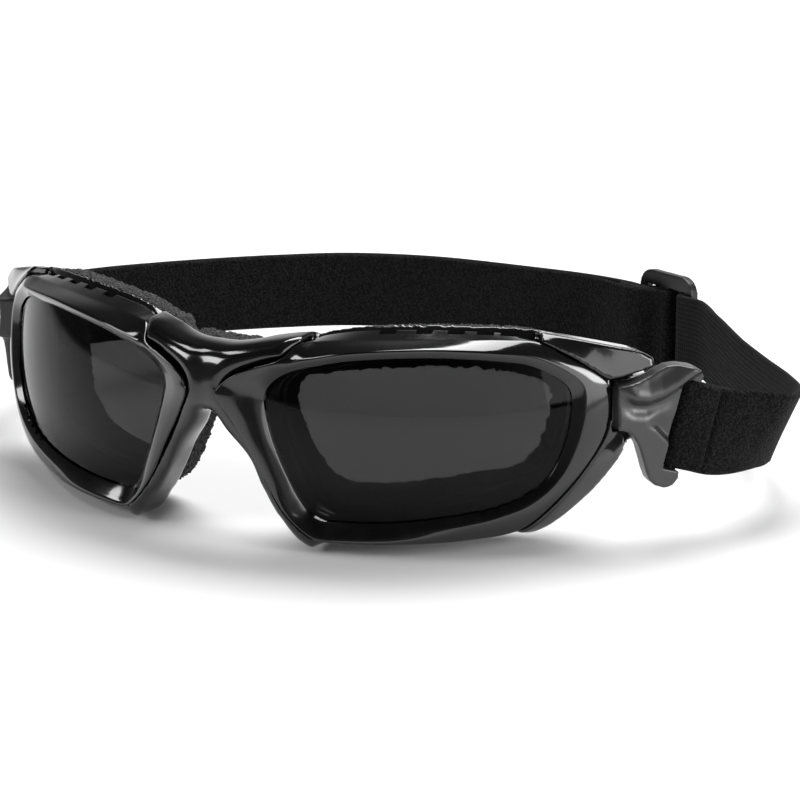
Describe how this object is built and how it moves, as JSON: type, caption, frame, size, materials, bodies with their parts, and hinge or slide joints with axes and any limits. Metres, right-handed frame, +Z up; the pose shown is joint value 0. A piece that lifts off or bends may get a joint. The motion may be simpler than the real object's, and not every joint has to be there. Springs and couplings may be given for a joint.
{
  "type": "motorcycle goggles",
  "caption": "Wrap-around goggles with tinted lenses in removable rims, a foam face gasket, and an elastic strap on hinged clips with a tri-glide slider.",
  "frame": {"origin": "centre of the bounding box in plan, at table height: the bottom faces of the two nose arms and the strap slider's lower edge lie at Z = 0", "axes": "+X towards the wearer's left, -Y the way the lenses face, +Z up; the goggles themselves are tipped back 6.8 degrees about X, as they lie on a table"},
  "size_m": [0.1906, 0.132, 0.0451],
  "materials": {
    "gloss_black": "glossy moulded black",
    "soft_black": "satin moulded black",
    "satin_grey": "satin dark grey",
    "smoke_lens": "smoke-tinted polycarbonate, polished",
    "foam": "open-cell foam",
    "webbing": "woven elastic webbing",
    "steel": "bare"
  },
  "bodies": {
    "frame": {"main_frame": "gloss_black", "face_foam": "foam", "gasket_carrier_left": "soft_black", "gasket_carrier_right": "soft_black", "hinge_pin_left": "steel", "hinge_pin_right": "steel", "strap_single_run": "webbing", "strap_outer_layer": "webbing", "strap_inner_layer": "webbing"},
    "lens_unit_left": {"lens_rim_left": "gloss_black", "lens_left": "smoke_lens"},
    "lens_unit_right": {"lens_rim_right": "gloss_black", "lens_right": "smoke_lens"},
    "clip_left": {"strap_clip_left": "satin_grey"},
    "clip_right": {"strap_clip_right": "satin_grey"},
    "slider": {"strap_slider": "soft_black"}
  },
  "joints": [
    {"name": "clip_left_hinge", "type": "hinge", "parent": "frame", "child": "clip_left", "pos_m": [0.06788, -0.02685, 0.0277], "axis": [0, 0.1184, 0.993], "range_deg": [-5, 45], "deforming": ["strap_single_run"]},
    {"name": "clip_right_hinge", "type": "hinge", "parent": "frame", "child": "clip_right", "pos_m": [-0.08144, -0.02685, 0.0277], "axis": [0, -0.1184, -0.993], "range_deg": [-25, 25], "deforming": ["strap_outer_layer", "strap_inner_layer"]},
    {"name": "lens_unit_left_release", "type": "slide", "parent": "frame", "child": "lens_unit_left", "axis": [0, -0.993, 0.1184], "range_m": [0, 0.012]},
    {"name": "lens_unit_right_release", "type": "slide", "parent": "frame", "child": "lens_unit_right", "axis": [0, -0.993, 0.1184], "range_m": [0, 0.012]},
    {"name": "strap_adjust", "type": "slide", "parent": "frame", "child": "slider", "axis": [-0.9061, 0.4201, -0.0501], "range_m": [-0.005, 0.01], "deforming": ["strap_single_run", "strap_outer_layer", "strap_inner_layer"]}
  ]
}
